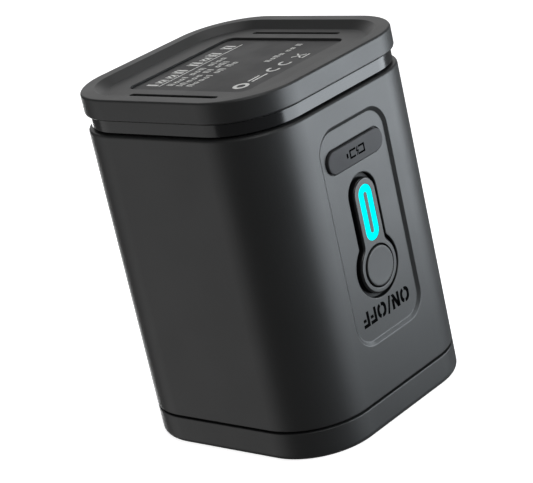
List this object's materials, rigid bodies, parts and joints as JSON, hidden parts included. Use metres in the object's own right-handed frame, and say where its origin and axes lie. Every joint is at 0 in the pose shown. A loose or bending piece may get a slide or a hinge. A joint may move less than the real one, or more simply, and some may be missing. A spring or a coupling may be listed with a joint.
{
  "type": "electric air mattress pump",
  "caption": "Pocket electric pump for air mattresses: rounded square case with a push button, a charging flap, and an outlet and an intake socket.",
  "frame": {"origin": "centre of the resting face at the port end", "axes": "+Z from the port end to the label end, -Y out of the control face, +Y out of the intake socket"},
  "size_m": [0.05, 0.0507, 0.071],
  "materials": {
    "case_plastic": "fine matt texture, dark grey",
    "gloss_black": "smooth, polished black",
    "silicone": "soft touch, dark grey",
    "dark_plastic": "as moulded, near black",
    "white_plastic": "as moulded, off white",
    "steel": "plated, satin",
    "cell_foil": "laminated foil pouch",
    "brass": "drawn and pressed",
    "copper": "enamelled wire and turned segments",
    "rubber": "moulded, black",
    "board_green": "solder mask",
    "light_guide": "clear plastic lit cyan from behind",
    "wire_red": "wire insulation",
    "wire_black": "wire insulation"
  },
  "bodies": {
    "pump": {"main_shell": "case_plastic", "port_end_cap": "case_plastic", "label_end_cap": "case_plastic", "neck_band": "gloss_black", "label_plate": "dark_plastic", "outlet_collar": "gloss_black", "outlet_seal": "rubber", "intake_socket": "gloss_black", "intake_grille": "dark_plastic", "button_bezel": "gloss_black", "light_guide": "light_guide", "flap_tether": "silicone", "circuit_board": "board_green", "usb_c_shell": "steel", "usb_c_tongue": "dark_plastic", "switch_body": "dark_plastic", "led_upper": "white_plastic", "led_lower": "white_plastic", "control_chip": "dark_plastic", "inductor": "dark_plastic", "blower_housing": "dark_plastic", "diffuser_plate": "dark_plastic", "blower_gasket": "rubber", "blower_cover": "dark_plastic", "motor_can": "steel", "motor_end_bell": "white_plastic", "front_bearing": "brass", "rear_bearing": "brass", "magnet_left": "dark_plastic", "magnet_right": "dark_plastic", "brush_left": "dark_plastic", "brush_right": "dark_plastic", "terminal_left": "brass", "terminal_right": "brass", "battery_tray": "dark_plastic", "battery_cell": "cell_foil", "battery_pad": "rubber", "motor_lead_black": "wire_black", "motor_lead_red": "wire_red", "battery_lead_black": "wire_black", "battery_lead_red": "wire_red", "case_screw_1": "steel", "case_screw_2": "steel", "case_screw_3": "steel", "case_screw_4": "steel", "board_screw_1": "steel", "motor_screw_1": "steel", "board_screw_2": "steel", "motor_screw_2": "steel"},
    "rotor": {"motor_shaft": "steel", "impeller": "white_plastic", "rotor_core": "steel", "rotor_winding_1": "copper", "rotor_winding_2": "copper", "rotor_winding_3": "copper", "commutator": "copper"},
    "button": {"power_button": "case_plastic"},
    "plunger": {"switch_plunger": "white_plastic"},
    "flap": {"charging_port_flap": "silicone"}
  },
  "joints": [
    {"name": "rotor_spin", "type": "hinge", "parent": "pump", "child": "rotor", "pos_m": [0, 0, 0.03], "axis": [0, 0, 1], "continuous": true},
    {"name": "button_press", "type": "slide", "parent": "pump", "child": "button", "axis": [0, 1, 0], "range_m": [0, 0.0005], "stiffness_N_per_m": 400, "springref_m": -0.0005},
    {"name": "plunger_press", "type": "slide", "parent": "pump", "child": "plunger", "axis": [0, 1, 0], "range_m": [0, 0.0005]},
    {"name": "flap_swing", "type": "hinge", "parent": "pump", "child": "flap", "pos_m": [0.008, -0.0246, 0.0531], "axis": [0, 0, 1], "range_deg": [0, 95]}
  ],
  "couplings": [
    {"joint": "plunger_press", "follows": "button_press", "ratio": 1}
  ]
}
